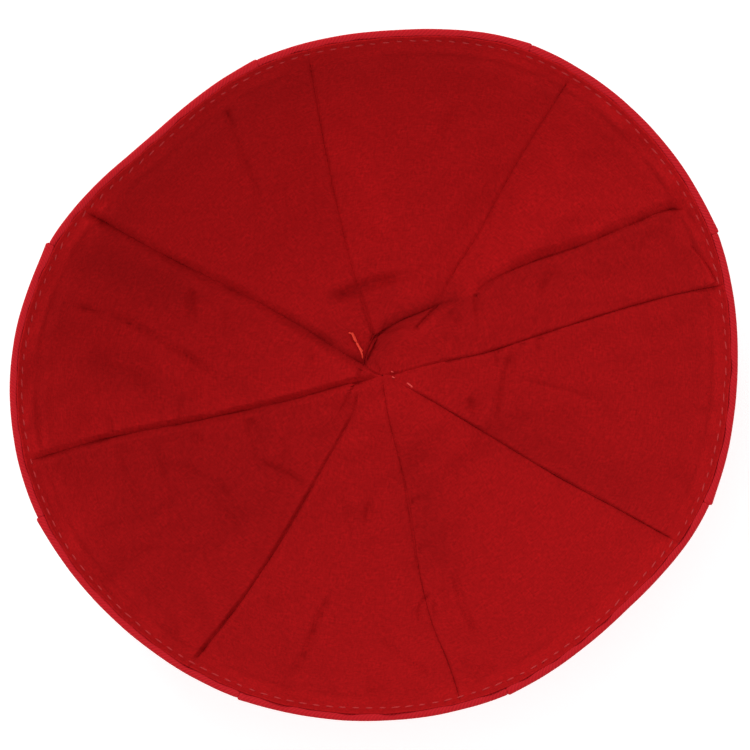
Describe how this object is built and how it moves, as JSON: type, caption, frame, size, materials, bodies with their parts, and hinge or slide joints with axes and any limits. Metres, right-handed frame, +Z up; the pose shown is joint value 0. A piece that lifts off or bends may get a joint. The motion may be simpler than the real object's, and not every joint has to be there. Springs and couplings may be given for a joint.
{
  "type": "gored skullcap",
  "caption": "Round skullcap of red twill with a cotton lining, sewn from wedge-shaped gores, lying on its crown with its mouth up.",
  "frame": {"origin": "below the middle of the cap's outline, on the plane that its crown rests on", "axes": "+Z up out of the mouth, +X along the outline's longest extent, +Y across it"},
  "size_m": [0.1778, 0.1688, 0.049],
  "materials": {
    "shell_twill": "wool and silk twill, fine steep ribs, soft sheen",
    "lining_cotton": "plain-weave cotton, matte",
    "sewing_thread": "twisted polyester thread, slight sheen"
  },
  "bodies": {
    "root": {"shell_gore_1": "shell_twill", "shell_gore_2": "shell_twill", "shell_gore_3": "shell_twill", "shell_gore_4": "shell_twill", "shell_gore_5": "shell_twill", "shell_gore_6": "shell_twill", "shell_gore_7": "shell_twill", "shell_gore_8": "shell_twill", "lining_gore_1": "lining_cotton", "lining_gore_2": "lining_cotton", "lining_gore_3": "lining_cotton", "lining_gore_4": "lining_cotton", "lining_gore_5": "lining_cotton", "lining_gore_6": "lining_cotton", "lining_gore_7": "lining_cotton", "lining_gore_8": "lining_cotton"}
  },
  "joints": []
}
